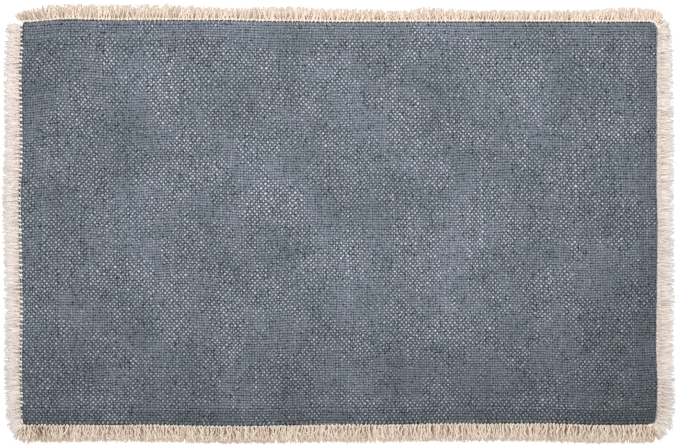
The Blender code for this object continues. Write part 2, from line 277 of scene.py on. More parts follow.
class Wiring:
    """Adds nodes to a material or a node group and joins them. A value is another node's
    output, a number or a colour."""

    def __init__(self, tree):
        self.tree = tree

    def join(self, value, socket):
        if isinstance(value, bpy.types.NodeSocket):
            self.tree.links.new(value, socket)
        else:
            socket.default_value = (*value, 1.0) if socket.type == "RGBA" else value

    def node(self, kind, *values):
        """A new node, with values joined to its sockets in their order."""
        node = self.tree.nodes.new("ShaderNode" + kind)
        for value, socket in zip(values, node.inputs):
            self.join(value, socket)
        return node

    def math(self, operation, *values):
        node = self.node("Math", *values)
        node.operation = operation
        return node.outputs[0]

    def add(self, *values):
        total = values[0]
        for value in values[1:]:
            total = self.math("ADD", total, value)
        return total

    def times(self, *values):
        product = values[0]
        for value in values[1:]:
            product = self.math("MULTIPLY", product, value)
        return product

    def less(self, value, other):
        return self.math("SUBTRACT", value, other)

    def ramp(self, value, start, rise):
        """start where value is 0, and rise more where it is 1."""
        return self.add(start, self.times(value, rise))

    def choose(self, share, first, second):
        return self.add(self.times(share, first), self.times(self.less(1.0, share), second))

    def slope(self, value, start, end, low=0.0, high=1.0):
        """low up to start and high past end, with an eased slope between."""
        node = self.node("MapRange", value, start, end, low, high)
        node.interpolation_type = "SMOOTHSTEP"
        return node.outputs[0]

    def vector(self, x, y, z=0.0):
        return self.node("CombineXYZ", x, y, z).outputs[0]

    def parts(self, vector):
        return self.node("SeparateXYZ", vector).outputs

    def noise(self, vector, scale, detail=2.0, roughness=0.5, distortion=0.0):
        node = self.node("TexNoise")
        for name, value in (("Vector", vector), ("Scale", scale), ("Detail", detail),
                            ("Roughness", roughness), ("Distortion", distortion)):
            self.join(value, node.inputs[name])
        return node.outputs[0]

    def grain(self, x, y, x_pace, y_pace, seed, detail=1.0):
        """Noise that changes at one pace along x and at another along y."""
        place = self.vector(self.times(x, x_pace), self.times(y, y_pace), seed)
        return self.noise(place, 1.0, detail)

    def chance(self, *place):
        """A number from 0 to 1, drawn once for each whole place."""
        return self.node("TexWhiteNoise", self.vector(*place)).outputs[0]

    def blend(self, share, first, second, kind="MIX"):
        node = self.node("Mix")
        node.data_type = "RGBA"
        node.blend_type = kind
        self.join(share, node.inputs[0])
        self.join(first, node.inputs[6])
        self.join(second, node.inputs[7])
        return node.outputs[2]

    def use(self, group, **values):
        """Places a shared effect with its own values."""
        node = self.node("Group")
        node.node_tree = group
        for name, value in values.items():
            self.join(value, node.inputs[name])
        return node.outputs

    def map(self, name):
        node = self.node("UVMap")
        node.uv_map = name
        return node.outputs[0]

    def attribute(self, name):
        node = self.node("Attribute")
        node.attribute_name = name
        return node.outputs["Fac"]

    def place(self):
        return self.node("TexCoord").outputs["Object"]

    def finish(self, colour, height, distance, roughness):
        """Gives a material's shader its colour, its roughness and a relief of some depth."""
        shader = self.tree.nodes["Principled BSDF"]
        bump = self.node("Bump")
        bump.inputs["Distance"].default_value = distance
        self.join(height, bump.inputs["Height"])
        self.join(bump.outputs[0], shader.inputs["Normal"])
        self.join(colour, shader.inputs["Base Color"])
        self.join(roughness, shader.inputs["Roughness"])


def new_material(name):
    material = bpy.data.materials.new(name)
    material.use_nodes = True
    return material


def new_piece(name, mesh, material):
    piece = bpy.data.objects.new(name, mesh)
    bpy.context.scene.collection.objects.link(piece)
    mesh.materials.append(material)
    return piece


DYED_YARN = (0.300, 0.342, 0.404)
WORN_YARN = (0.680, 0.730, 0.790)
# The colour of the painted shade between the yarns and in the holes
WEAVE_GAP_SHADE = (0.0135, 0.0215, 0.034)
COOL_CAST = (0.975, 1.006, 0.995)  # over the least worn patches
WARM_CAST = (1.014, 0.996, 1.010)  # over the most worn
WARP_STRAY = 1.1  # how far the yarns stray from their count, in yarns
WEFT_STRAY = 0.8
WARP_HALF = 0.34  # half of a yarn where it is thinnest, in yarns
WEFT_HALF = 0.25
SLUB = 0.36  # what it gains where it is thickest
EVEN_GAIN = 0.16  # what a warp end gains where the yarns lie even
YARN_CROWN = 0.45  # how high a yarn's back is rounded
YARN_WAVE = 0.55  # how high it rises and falls over the others
EVEN_PATCHES = 0.062  # even patches for each thread across the cloth
EVENNESS = (0.47, 0.66)  # where in their noise the yarns start to lie even, and lie so
BAND_EVENNESS = 0.11
HEM_EVENNESS = 0.12
LARGEST_HOLE = 0.34  # in yarns, as the softness of its edge is
HOLE_EDGE = 0.16
HOLE_TONE = 0.18  # how much of the yarns' colour shows through the painted shade in a hole
WEAR_PATCHES = 34.0  # patches for each metre
WEAR = (0.34, 0.60)  # where in their noise the wear starts, and is full
WORN_CROWN = (0.66, 0.90)  # how high a crown stands where its wear starts, and is full
WARP_TONES = (1.05, 0.74)  # where the warp has ridden up over the weft, and where they lie even
WEFT_TONES = (0.48, 0.86)
PLY_TONE = 0.26
BROAD_PATCHES = 16.0  # patches for each metre
# Painted shade over the whole cloth, standing for the light's falloff: from where to where it
# changes, in metres from its middle, and its tone before and after, towards the near side, the
# far side, both ends and the near right corner.
NEAR_PAINTED_SHADE = (-0.150, -0.045, 0.81, 1.0)
FAR_PAINTED_SHADE = (0.05, 0.13, 1.0, 0.97)
END_PAINTED_SHADE = (0.12, 0.24, 1.0, 0.88)
CORNER_PAINTED_SHADE = (0.10, 0.34, 1.0, 0.80)
NEAR_HEM = (6.6, 11.2)  # picks from the near raw edge to the fold and to the stitching
NEAR_HEM_TONE = 0.84
FOLD = (4.6, 7.2)  # picks from a raw edge through which the cloth folds back on itself
# painted shade over the fold, where the cloth rolls over its edge
FOLD_PAINTED_SHADE = 0.80
PRESSED_HEM = (13, 10)  # picks from the far raw edge to where its pressing starts, and is full
RIGHT_BAND = 267  # the first of the smooth warp ends along the right selvedge
RIGHT_BAND_TONE = 0.93
YARN_RELIEF = 0.0006


def woven_cotton():
    material = new_material("stonewashed_blue_grey_cotton")
    wire = Wiring(material.node_tree)
    threads = wire.map("threads")
    warp_run, pick_run, _ = wire.parts(threads)
    aslant = wire.grain(warp_run, pick_run, 1.30, 0.45, 12.0)
    uneven = wire.grain(warp_run, pick_run, 0.55, 0.60, 15.0)
    u = wire.add(warp_run, wire.times(wire.less(aslant, 0.5), WARP_STRAY))
    v = wire.add(pick_run, wire.times(wire.less(uneven, 0.5), WEFT_STRAY))
    warp, pick = wire.math("ROUND", u), wire.math("ROUND", v)
    off_warp, off_pick = wire.less(u, warp), wire.less(v, pick)
    luck = wire.chance(warp, pick)

    def crown(offset, half):
        share = wire.math("DIVIDE", offset, half)
        inside = wire.math("MAXIMUM", wire.less(1.0, wire.times(share, share)), 0.0)
        return wire.math("SQRT", inside)

    def wave(run, thread):
        return wire.math("COSINE", wire.times(wire.less(run, thread), math.pi))

    # In some patches, on the pressed far hem and along the right selvedge the yarns lie even.
    band = wire.slope(warp_run, RIGHT_BAND - 2, RIGHT_BAND + 1)
    pressed = wire.slope(pick_run, PICKS - PRESSED_HEM[0], PICKS - PRESSED_HEM[1])
    patched = wire.noise(threads, EVEN_PATCHES, 3.0, 0.6, 0.8)
    evenness = wire.slope(wire.add(patched, wire.times(band, BAND_EVENNESS),
                                   wire.times(pressed, HEM_EVENNESS)), *EVENNESS)

    # Each yarn is thick in some places and thin in others.
    warp_body = wire.grain(warp, v, 5.37, 0.16, 1.0)
    weft_body = wire.grain(u, pick, 0.20, 5.37, 9.0)
    warp_half = wire.add(wire.ramp(warp_body, WARP_HALF, SLUB), wire.times(evenness, EVEN_GAIN))
    warp_round = crown(off_warp, warp_half)
    weft_round = crown(off_pick, wire.ramp(weft_body, WEFT_HALF, SLUB))
    warp_top = wire.add(wire.times(wave(v, warp), YARN_WAVE), wire.times(warp_round, YARN_CROWN))
    weft_top = wire.add(wire.times(wave(u, pick), -YARN_WAVE), wire.times(weft_round, YARN_CROWN))
    top = wire.math("MAXIMUM", warp_top, weft_top)
    is_warp = wire.math("GREATER_THAN", warp_top, weft_top)
    roundness = wire.choose(is_warp, warp_round, weft_round)

    # Painted shade in a hole at the meeting of every four yarns, larger where they lie loose.
    hole_warp, hole_pick = wire.math("FLOOR", u), wire.math("FLOOR", v)
    aside = wire.less(wire.less(u, hole_warp), 0.5)
    ahead = wire.less(wire.less(v, hole_pick), 0.5)
    away = wire.math("SQRT", wire.add(wire.times(aside, aside), wire.times(ahead, ahead)))
    loose = wire.chance(hole_warp, hole_pick, 3.0)
    hole = wire.times(loose, loose, LARGEST_HOLE)
    closed = wire.slope(wire.less(away, hole), 0.0, HOLE_EDGE, HOLE_TONE, 1.0)
    # Painted shade: the yarns darken towards the gap colour where they lie low, at their sides,
    # at the edges of the picks and in the holes.
    unshaded = wire.times(
        wire.slope(top, -0.30, 0.55), wire.slope(roundness, 0.05, 0.95, 0.10, 1.0), closed,
        wire.slope(wire.math("ABSOLUTE", off_pick), 0.28, 0.50, 1.0, 0.70))

    # The wash has worn the crowns pale, more in some patches than in others.
    place = wire.place()
    across, along, _ = wire.parts(place)
    patches = wire.noise(place, WEAR_PATCHES, 4.0, 0.6, 0.9)
    bands = wire.grain(across, along, 24.0, 3.0, 4.0, 2.0)
    wear = wire.slope(wire.add(wire.times(patches, 0.72), wire.times(bands, 0.28)), *WEAR)
    wear = wire.times(wear, wire.ramp(evenness, 1.0, -0.6))
    proud = wire.choose(is_warp, wire.ramp(evenness, 1.0, -0.5), wire.ramp(evenness, 0.20, 0.40))
    pale = wire.times(wire.slope(top, *WORN_CROWN), proud, wire.ramp(wear, 0.06, 0.84),
                      wire.ramp(luck, 0.70, 0.25),
                      wire.slope(wire.math("ABSOLUTE", off_warp), 0.08, 0.40, 1.0, 0.30))
    pale = wire.math("MINIMUM", pale, 1.0)

    # Every yarn took the dye in its own way. The cloth is darker towards its near side, its far
    # side,
    # its ends and its near right corner: painted shade for the light's falloff.
    streak = wire.choose(is_warp, warp_body, wire.ramp(weft_body, 0.25, 0.5))
    fibre = wire.grain(u, v, 6.0, 6.0, 2.0, 2.0)
    twist = wire.grain(u, v, 0.15, 0.70, 6.0)
    turns = wire.add(wire.times(u, 0.8), wire.times(twist, 2.5))
    plies = wire.math("SINE", wire.times(turns, math.tau))
    tone = wire.times(
        wire.add(wire.ramp(streak, 0.585, 0.55), wire.times(luck, 0.09)),
        wire.choose(is_warp, wire.choose(evenness, WARP_TONES[1], WARP_TONES[0]),
                    wire.choose(evenness, WEFT_TONES[1], WEFT_TONES[0])),
        wire.ramp(wire.chance(pick, 7.0), 0.95, 0.10),
        wire.ramp(wire.chance(warp, 8.0), 0.945, 0.11),
        wire.ramp(wire.noise(place, BROAD_PATCHES, 3.0, 0.55), 0.565, 0.85),
        # painted shade for the light's falloff towards the sides and the near right corner
        wire.slope(along, *NEAR_PAINTED_SHADE), wire.slope(along, *FAR_PAINTED_SHADE),
        wire.slope(wire.math("ABSOLUTE", across), *END_PAINTED_SHADE),
        wire.slope(wire.less(across, along), *CORNER_PAINTED_SHADE),
        wire.ramp(fibre, 0.80, 0.40), wire.ramp(plies, 1.0, PLY_TONE))
    near_hem = wire.times(wire.slope(pick_run, NEAR_HEM[0] - 1, NEAR_HEM[0]),
                          wire.slope(pick_run, NEAR_HEM[1], NEAR_HEM[1] + 1, 1.0, 0.0))
    # Painted shade over the fold at each hem, where the cloth rolls over its edge.
    edge_run = wire.math("MINIMUM", pick_run, wire.less(PICKS, pick_run))
    tone = wire.times(tone, wire.slope(edge_run, *FOLD, FOLD_PAINTED_SHADE, 1.0),
                      wire.ramp(near_hem, 1.0, NEAR_HEM_TONE - 1),
                      wire.ramp(band, 1.0, RIGHT_BAND_TONE - 1))
    # painted shade between the yarns, over the dyed yarn worn pale at its crowns
    colour = wire.blend(unshaded, WEAVE_GAP_SHADE, wire.blend(pale, DYED_YARN, WORN_YARN))
    colour = wire.blend(1.0, colour, wire.vector(tone, tone, tone), "MULTIPLY")
    cast = wire.blend(wire.slope(patches, 0.35, 0.65), COOL_CAST, WARM_CAST)
    colour = wire.blend(1.0, colour, cast, "MULTIPLY")
    wire.finish(colour, wire.add(top, wire.times(fibre, 0.12)), YARN_RELIEF,
                wire.slope(top, -0.5, 1.0, 0.98, 0.86))
    return material


cloth = new_piece("woven_panel", woven_cloth(), woven_cotton())
thickness = cloth.modifiers.new("cloth thickness", "SOLIDIFY")
thickness.thickness = CLOTH_THICK - 2 * WEAVE_RELIEF
thickness.offset = 0.0
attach(cloth, "root")
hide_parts("mat")


# ------------------------ far fringe
# Undyed cotton trim sewn against the far hem: two-ply yarns cut to about a centimetre, held
# at their roots by a thin corded heading. It fans round the far right corner.
FAN_LINE = 0.0080  # how far out of the cloth's edge places along a fringe are measured
# How a fringe was cut at a place along it: how far its yarns reach from the cloth's edge, how
# far they lean in degrees, and how far their shade is dimmed.
Cut = namedtuple("Cut", "along reach lean dim", defaults=(0,))
# A layer of yarns: the spacing of its yarns, its share of the fringe's reach, how high its roots
# and its cut ends lie, the radius of a ply, how many plies, how curly it is and how many curls
# it has, how far its locks lean in degrees, how far the sewing draws it together, how ragged its
# cut is, its range of shade, and how much its plies differ in shade. The range of shade is partly
# the yarns' own tone and partly painted shade, which makes the lower layers darker and the top
# ones lighter.
Layer = namedtuple("Layer", "spacing share root_level end_level ply plies curl curls lean gather "
                   "ragged dark light marl")
# A heading: how far out of the cloth's edge and how high its middle runs, the radius of a
# strand, how far its strands swing in plan and in height, how often they rise in each swing, the
# length of a swing, how many strands, and its shade.
Heading = namedtuple("Heading", "out level strand swing rise rises lay strands shade")
# The stitches or loops along a heading: their pitch, how far out of the cloth's edge the yarns
# start and the stitches start and stop, how far their starts waver, how high they stand, the
# radius of their thread, how far they slant, and their shade.
Heads = namedtuple("Heads", "pitch root start stop waver level thread slant shade")
# The loose fibres among the cut ends: their spacing, between which shares of the fringe's reach
# they start and stop, and how far they fan in radians.
Brush = namedtuple("Brush", "spacing starts stops fan")
# A stray yarn: its place, how far it reaches from the cloth's edge, and its lean in degrees.
Stray = namedtuple("Stray", "along reach lean")
# A trim: its side, where along it the trim begins and stops, and what it is made of.
Trim = namedtuple("Trim", "side begins stops cuts layers brush heading heads strays")

CLEARANCE = 1.02  # of its radius, between a strand's middle and the table
YARN_POINTS = 9  # points along a yarn
YARN_TWIST = 0.0046  # the run of one turn of a two-ply yarn
LOCKS = 150  # locks that lean together, for each metre
TUFTS = 420  # tufts cut to one length, for each metre
YARN_ARCH = 0.0005  # how far a yarn can arch between its root and its cut end
GATHERED = 0.50  # of a yarn's length that the sewing draws aside
TAPER_FROM = 0.7  # of its length, where a yarn starts to thin
UNTWIST_FROM = 0.6  # and where its plies start to part
PLY_SPREAD = 0.85  # of a ply's radius, between its middle and the yarn's
HAIRS = 2  # loose fibres at each cut end
HAIR_RADII = (0.00011, 0.00009, 0.00005)
THREAD_STEP = 0.0007  # between the points of a thread along an edge
# The arch of a stitch: shares of its length, and its height and its share of the thread there.
STITCH_ARCH = ((0.0, -0.0008, 0.5), (0.25, 0.0, 0.95), (0.5, 0.0002, 1.0), (0.75, 0.0, 0.95),
               (1.0, -0.0008, 0.5))
STRAY_ROOT = 0.0080  # how far out of the cloth's edge a stray yarn starts to show
STRAY_STEPS = (0.0, 0.25, 0.5, 0.75, 1.0)
STRAY_RADII = (0.00030, 0.00030, 0.00028, 0.00026, 0.00018)
STRAY_END = 0.0003  # height of a stray yarn's end, and its drop to there
STRAY_DROP = 0.0014
STRAY_BOW = 0.0008
STRAY_SHADE = 0.30


class Edge:
    """The panel's closed edge, with places on it measured along a line in mid-fringe."""

    def __init__(self, fan_line):
        self.points, first = [], {}
        for side in SIDES:
            first[side.name] = len(self.points)
            self.points += straight(side) + corner(side)
        count = len(self.points)
        self.outward = []
        for i in range(count):
            chord = self.points[(i + 1) % count] - self.points[i - 1]
            self.outward.append(Vector((-chord.y, chord.x)).normalized())
        ring = [p + n * fan_line for p, n in zip(self.points, self.outward)]
        self.marks = [0.0]
        for i in range(count):
            self.marks.append(self.marks[-1] + (ring[(i + 1) % count] - ring[i]).length)
        self.middles = {side.name: self.marks[first[side.name]] + side.half
                        - neighbour(side, -1).corner for side in SIDES}

    def place(self, side, along):
        """The point of the cloth's edge at a place along a fringe, and the way it faces."""
        mark = (self.middles[side.name] + along) % self.marks[-1]
        i = bisect.bisect_right(self.marks, mark) - 1
        t = (mark - self.marks[i]) / (self.marks[i + 1] - self.marks[i])
        j = (i + 1) % len(self.points)
        point = self.points[i].lerp(self.points[j], t)
        return point, self.outward[i].lerp(self.outward[j], t).normalized()


edge = Edge(FAN_LINE)


class Strands:
    """Gathers strands of yarn, and turns them into one mesh of tapered tubes."""

    def __init__(self):
        self.paths = []

    def add(self, points, radii, shade, along):
        """One strand that nowhere sinks into the table. Its radii and its run, which is 0 at
        its root and 1 at its cut end, can be one number or one for each point."""
        points = np.array(points)
        radii, along = np.full(len(points), radii), np.full(len(points), along)
        points[:, 2] = np.maximum(points[:, 2], radii * CLEARANCE)
        self.paths.append((points, radii, shade, along))

    def mesh(self, name):
        data = bpy.data.curves.new(name, "CURVE")
        data.dimensions = "3D"
        data.bevel_depth = 1.0
        data.bevel_resolution = 0
        data.use_fill_caps = True
        for points, radii, _, _ in self.paths:
            spline = data.splines.new("POLY")
            spline.points.add(len(points) - 1)
            weighted = np.column_stack([points, np.ones(len(points))])
            spline.points.foreach_set("co", weighted.ravel())
            spline.points.foreach_set("radius", radii)
        curve = bpy.data.objects.new(name, data)
        bpy.context.scene.collection.objects.link(curve)
        shown = curve.evaluated_get(bpy.context.evaluated_depsgraph_get())
        solid = bpy.data.meshes.new_from_object(shown)
        bpy.data.objects.remove(curve)
        self.mark(solid)
        form = bmesh.new()
        form.from_mesh(solid)
        bmesh.ops.remove_doubles(form, verts=form.verts, dist=1e-7)
        form.to_mesh(solid)
        form.free()
        solid.polygons.foreach_set("use_smooth", np.ones(len(solid.polygons), bool))
        solid.name = name
        return solid

    def mark(self, solid):
        """Writes each strand's shade and run on its points. The tubes' end caps come first, the
        last strand's before the others, and then each tube, ring by ring of four."""
        shade, along = [], []
        for _, _, tone, run in reversed(self.paths):
            shade += [tone] * 8
            along += [run[-1]] * 4 + [run[0]] * 4
        shade += [tone for _, _, tone, run in self.paths for _ in range(4 * len(run))]
        along += [value for _, _, _, run in self.paths for value in run for _ in range(4)]
        for name, values in (("shade", shade), ("along", along)):
            solid.attributes.new(name, "FLOAT", "POINT").data.foreach_set("value", values)


def scattered(trim, spacing, scatter, chance):
    """Places along a trim at about one spacing, each aside by a share of it."""
    run = trim.stops - trim.begins
    count = round(run / spacing)
    for i in range(count):
        yield trim.begins + (i + 0.5 + chance.uniform(-scatter, scatter)) * run / count


class Sewing:
    """The uneven stitches that hold a fringe, each drawing the yarns beside it together."""

    def __init__(self, trim, chance):
        self.marks = list(scattered(trim, trim.heads.pitch, 0.22, chance))
        self.pulls = [chance.uniform(0.3, 1.0) for _ in self.marks]

    def draw(self, along):
        """How far the nearest stitch draws a yarn's root along the fringe."""
        i = bisect.bisect_left(self.marks, along)
        near = min(range(max(0, i - 1), min(len(self.marks), i + 1)),
                   key=lambda j: abs(self.marks[j] - along))
        return (self.marks[near] - along) * self.pulls[near]


def along_edge(run):
    """Steps along a trim or a seam: each place, the cloth's edge there and the way it faces."""
    count = int((run.stops - run.begins) / THREAD_STEP)
    for i in range(count + 1):
        along = run.begins + (run.stops - run.begins) * i / count
        yield along, *edge.place(run.side, along)


def yarn_path(trim, layer, along, draw, chance):
    """A yarn's middle line from its root to its cut end, its ways in plan and its length."""
    point, outward = edge.place(trim.side, along)
    lock = noise.noise((along * LOCKS, 3.1, trim.side.faces))
    tuft = noise.noise((along * TUFTS, 8.2, trim.side.faces))
    lean = math.radians(read(trim.cuts, along, "lean")
                        + layer.lean * (lock + chance.gauss(0, 0.6)))
    root = trim.heads.root + chance.uniform(-0.0002, 0.0003)
    reach = read(trim.cuts, along, "reach") * layer.share + 0.5 * layer.ragged * tuft
    length = reach + layer.ragged * chance.uniform(-1.0, 0.6) - root
    t = np.linspace(0, 1, YARN_POINTS)
    bends = layer.curls * chance.uniform(0.55, 1.45)
    waves = np.sin(2 * math.pi * (bends * t + chance.random())) * chance.uniform(0.3, 1.0)
    turn = lean + layer.curl * (waves + t ** 3 * chance.gauss(0, 0.9))
    ways = np.column_stack([outward.x * np.cos(turn) + outward.y * np.sin(turn),
                            -outward.x * np.sin(turn) + outward.y * np.cos(turn)])
    steps = np.vstack([np.zeros(2), (ways[1:] + ways[:-1]) / 2 * length / (YARN_POINTS - 1)])
    drawn = layer.gather * draw * (1 - ease(np.clip(t / GATHERED, 0, 1)))
    plan = (np.array(point + outward * root) + np.cumsum(steps, 0)
            + np.outer(drawn, (outward.y, -outward.x)))
    level = (layer.end_level + (layer.root_level - layer.end_level) * (1 - t) ** 1.3
             + YARN_ARCH * np.sin(math.pi * t) * chance.uniform(-0.6, 1.0)
             + chance.uniform(-0.0002, 0.0002))
    return np.column_stack([plan, level]), ways, length


def towards_end(t, start):
    """0 up to start, and eased from there to 1 at a yarn's cut end."""
    return ease(np.clip((t - start) / (1 - start), 0, 1))


def lay_yarn(strands, trim, layer, along, draw, chance):
    """One yarn of plies that wind round each other and part at its cut end, with its hairs."""
    path, ways, length = yarn_path(trim, layer, along, draw, chance)
    t = np.linspace(0, 1, YARN_POINTS)
    shade = chance.uniform(layer.dark, layer.light) - read(trim.cuts, along, "dim")
    radii = layer.ply * (1 - 0.5 * towards_end(t, TAPER_FROM))
    if layer.plies == 1:
        strands.add(path[::2], radii[::2], shade, t[::2])
        return
    across = np.column_stack([-ways[:, 1], ways[:, 0], np.zeros(len(t))])
    wind = chance.random() * math.tau + math.tau * t * length / YARN_TWIST
    spread = PLY_SPREAD * layer.ply * (1 + 0.9 * towards_end(t, UNTWIST_FROM))
    for ply in range(layer.plies):
        angle = wind + math.tau * ply / layer.plies
        offset = across * (spread * np.cos(angle))[:, None]
        offset[:, 2] = spread * np.sin(angle)
        strands.add(path + offset, radii, shade + layer.marl * (0.5 - ply), t)
    for _ in range(HAIRS):
        at = min(YARN_POINTS - 1, int(YARN_POINTS * chance.uniform(0.6, 1.15)))
        add_hair(strands, path[at], ways[at], 0.6, chance.uniform(0.0008, 0.0026), shade + 0.1,
                 chance)


def add_hair(strands, start, way, fan, length, shade, chance):
    """A loose fibre from a point, roughly in one way."""
    way = Matrix.Rotation(chance.gauss(0, fan), 2) @ Vector(way)
    curl = chance.gauss(0, 1.5 * fan)
    points = [Vector(start)]
    for _ in HAIR_RADII[1:]:
        way = Matrix.Rotation(curl / 2, 2) @ way
        rise = chance.uniform(-0.25, 0.20)
        points.append(points[-1] + Vector((way.x, way.y, rise)) * length / 2)
    strands.add(points, HAIR_RADII, shade, (0.9, 1.0, 1.0))


def lay_brush(strands, trim, chance):
    """The loose fibres that the cut left among the ends."""
    root, brush = trim.heads.root, trim.brush
    for along in scattered(trim, brush.spacing, 0.5, chance):
        point, outward = edge.place(trim.side, along)
        way = Matrix.Rotation(-math.radians(read(trim.cuts, along, "lean")), 2) @ outward
        reach = read(trim.cuts, along, "reach") - root
        start, stop = reach * chance.uniform(*brush.starts), reach * chance.uniform(*brush.stops)
        plan = point + outward * root + way * start
        add_hair(strands, (plan.x, plan.y, chance.uniform(0.0005, 0.0012)), way, brush.fan,
                 stop - start, chance.uniform(0.6, 1.0), chance)


def lay_heading(strands, trim):
    """The corded or braided heading that runs along the yarns' roots."""
    heading = trim.heading
    for strand in range(heading.strands):
        points = []
        for along, point, outward in along_edge(trim):
            angle = math.tau * (along / heading.lay + strand / heading.strands)
            plan = point + outward * (heading.out + heading.swing * math.cos(angle))
            level = heading.level + heading.rise * math.sin(heading.rises * angle)
            points.append((plan.x, plan.y, level))
        strands.add(points, heading.strand, heading.shade, 0.3)


def lay_heads(strands, trim, sewing, chance):
    """A short arch of thread at every stitch, across the heading."""
    heads = trim.heads
    for mark in sewing.marks:
        point, outward = edge.place(trim.side, mark)
        run = Vector((outward.y, -outward.x))
        wavering = noise.noise((mark * 35, 6.6, trim.side.faces))
        start = heads.start + heads.waver * wavering + chance.uniform(-0.0002, 0.0002)
        stop = heads.stop + chance.uniform(-0.0003, 0.0003)
        slant = heads.slant + chance.uniform(-0.0005, 0.0005)
        thread = heads.thread * chance.uniform(0.6, 1.25)
        points = []
        for share, height, _ in STITCH_ARCH:
            plan = (point + outward * (start + (stop - start) * share)
                    + run * slant * (share - 0.5))
            points.append((plan.x, plan.y, heads.level + height))
        strands.add(points, [thread * girth for _, _, girth in STITCH_ARCH],
                    heads.shade + chance.uniform(-0.12, 0.12), 0.4)


def lay_strays(strands, trim, chance):
    """The few long yarns that stick out of the fringe."""
    for stray in trim.strays:
        point, outward = edge.place(trim.side, stray.along)
        way = Matrix.Rotation(-math.radians(stray.lean), 2) @ outward
        start = point + outward * STRAY_ROOT
        bow = way.orthogonal() * chance.uniform(-STRAY_BOW, STRAY_BOW)
        points = []
        for t in STRAY_STEPS:
            plan = start + way * (stray.reach - STRAY_ROOT) * t + bow * math.sin(math.pi * t)
            points.append((plan.x, plan.y, STRAY_DROP * (1 - t) + STRAY_END))
        strands.add(points, STRAY_RADII, STRAY_SHADE, STRAY_STEPS)


def cut_fringe(trim, material, seed):
    chance = random.Random(seed)
    strands = Strands()
    sewing = Sewing(trim, chance)
    for layer in trim.layers:
        for along in scattered(trim, layer.spacing, 0.35, chance):
            lay_yarn(strands, trim, layer, along, sewing.draw(along), chance)
    lay_brush(strands, trim, chance)
    lay_heading(strands, trim)
    lay_heads(strands, trim, sewing, chance)
    lay_strays(strands, trim, chance)
    name = "cut_fringe_" + trim.side.name
    piece = new_piece(name, strands.mesh(name), material)
    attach(piece, "root")
    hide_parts("fringe_" + trim.side.name)


# White for the stitching thread, and painted light on the lightest top yarns
WHITE_THREAD_AND_PAINTED_LIGHT = (1.0, 0.95, 0.89)
FIBRE_FINENESS = 2600.0
FIBRE_RELIEF = 0.00012
YARN_PATCHES = 70.0  # lighter and darker patches for each metre


def shared_effect(name, inputs, outputs):
    """A node group with its sockets, for an effect that several materials use."""
    group = bpy.data.node_groups.new(name, "ShaderNodeTree")
    for sockets, way in ((inputs, "INPUT"), (outputs, "OUTPUT")):
        for socket, kind in sockets:
            group.interface.new_socket(socket, in_out=way, socket_type="NodeSocket" + kind)
    given = group.nodes.new("NodeGroupInput").outputs
    made = group.nodes.new("NodeGroupOutput").inputs
    return group, Wiring(group), given, made


def spun_fibre():
    """The fine fibres on the surface of spun cotton."""
    group, wire, given, made = shared_effect(
        "spun_fibre", (("Fineness", "Float"),), (("Fibre", "Float"),))
    wire.join(wire.noise(wire.place(), given["Fineness"]), made["Fibre"])
    return group


def undyed_yarn(fibre_group):
    """Undyed cotton yarn: Deep is the painted shade between and under the yarns, which its
    darkest yarns take; Pale the colour of its light ones, Tip that of its loose cut ends, and Bed
    the shade of the lowest yarns beyond the sewing, away from the painted shade at their roots."""
    group, wire, given, made = shared_effect(
        "undyed_yarn", (("Deep", "Color"), ("Pale", "Color"), ("Tip", "Color"), ("Bed", "Float")),
        (("Colour", "Color"), ("Roughness", "Float"), ("Fibre", "Float")))
    shade = wire.attribute("shade")
    along = wire.attribute("along")
    fibre = wire.use(fibre_group, Fineness=FIBRE_FINENESS)["Fibre"]
    patch = wire.noise(wire.place(), YARN_PATCHES, 2.0)
    # Painted shade at the roots: yarns darker than Bed lighten to it between 15% and 65% of their
    # length.
    lit = wire.times(wire.slope(along, 0.15, 0.65),
                     wire.math("MAXIMUM", wire.less(given["Bed"], shade), 0.0))
    light = wire.add(shade, lit, wire.times(wire.less(fibre, 0.5), 0.4),
                     wire.times(wire.less(patch, 0.5), 0.3))
    # From Deep, the painted shade between the yarns, for the darkest to Pale for the lightest.
    colour = wire.blend(wire.slope(light, 0.0, 1.0), given["Deep"], given["Pale"])
    # Past full light a yarn goes white: the white stitching thread, and painted light on the
    # lightest top yarns.
    colour = wire.blend(wire.slope(light, 1.05, 1.35), colour, WHITE_THREAD_AND_PAINTED_LIGHT)
    colour = wire.blend(wire.times(wire.slope(along, 0.55, 1.0), 0.55), colour, given["Tip"])
    wire.join(colour, made["Colour"])
    wire.join(wire.slope(fibre, 0.2, 0.8, 0.88, 0.98), made["Roughness"])
    wire.join(fibre, made["Fibre"])
    return group


spun_fibre_effect = spun_fibre()
undyed_yarn_effect = undyed_yarn(spun_fibre_effect)


# deep is the painted shade between and under the yarns
def raw_cotton(name, deep, pale, tip, bed):
    material = new_material(name)
    wire = Wiring(material.node_tree)
    yarn = wire.use(undyed_yarn_effect, Deep=deep, Pale=pale, Tip=tip, Bed=bed)
    wire.finish(yarn["Colour"], yarn["Fibre"], FIBRE_RELIEF, yarn["Roughness"])
    return material


FAR_CUTS = rows_of(
    Cut, (-0.240, 0.0098, -34, 0.15), (-0.228, 0.0112, -20, 0.15), (-0.212, 0.0128, -5),
    (-0.130, 0.0130, 2), (-0.080, 0.0104, 4), (-0.045, 0.0124, -2), (0.000, 0.0114, 5),
    (0.050, 0.0098, 3), (0.066, 0.0120, -4), (0.100, 0.0102, 6), (0.180, 0.0102, 8),
    (0.216, 0.0122, 0), (0.236, 0.0112, 0), (0.248, 0.0096, 6))
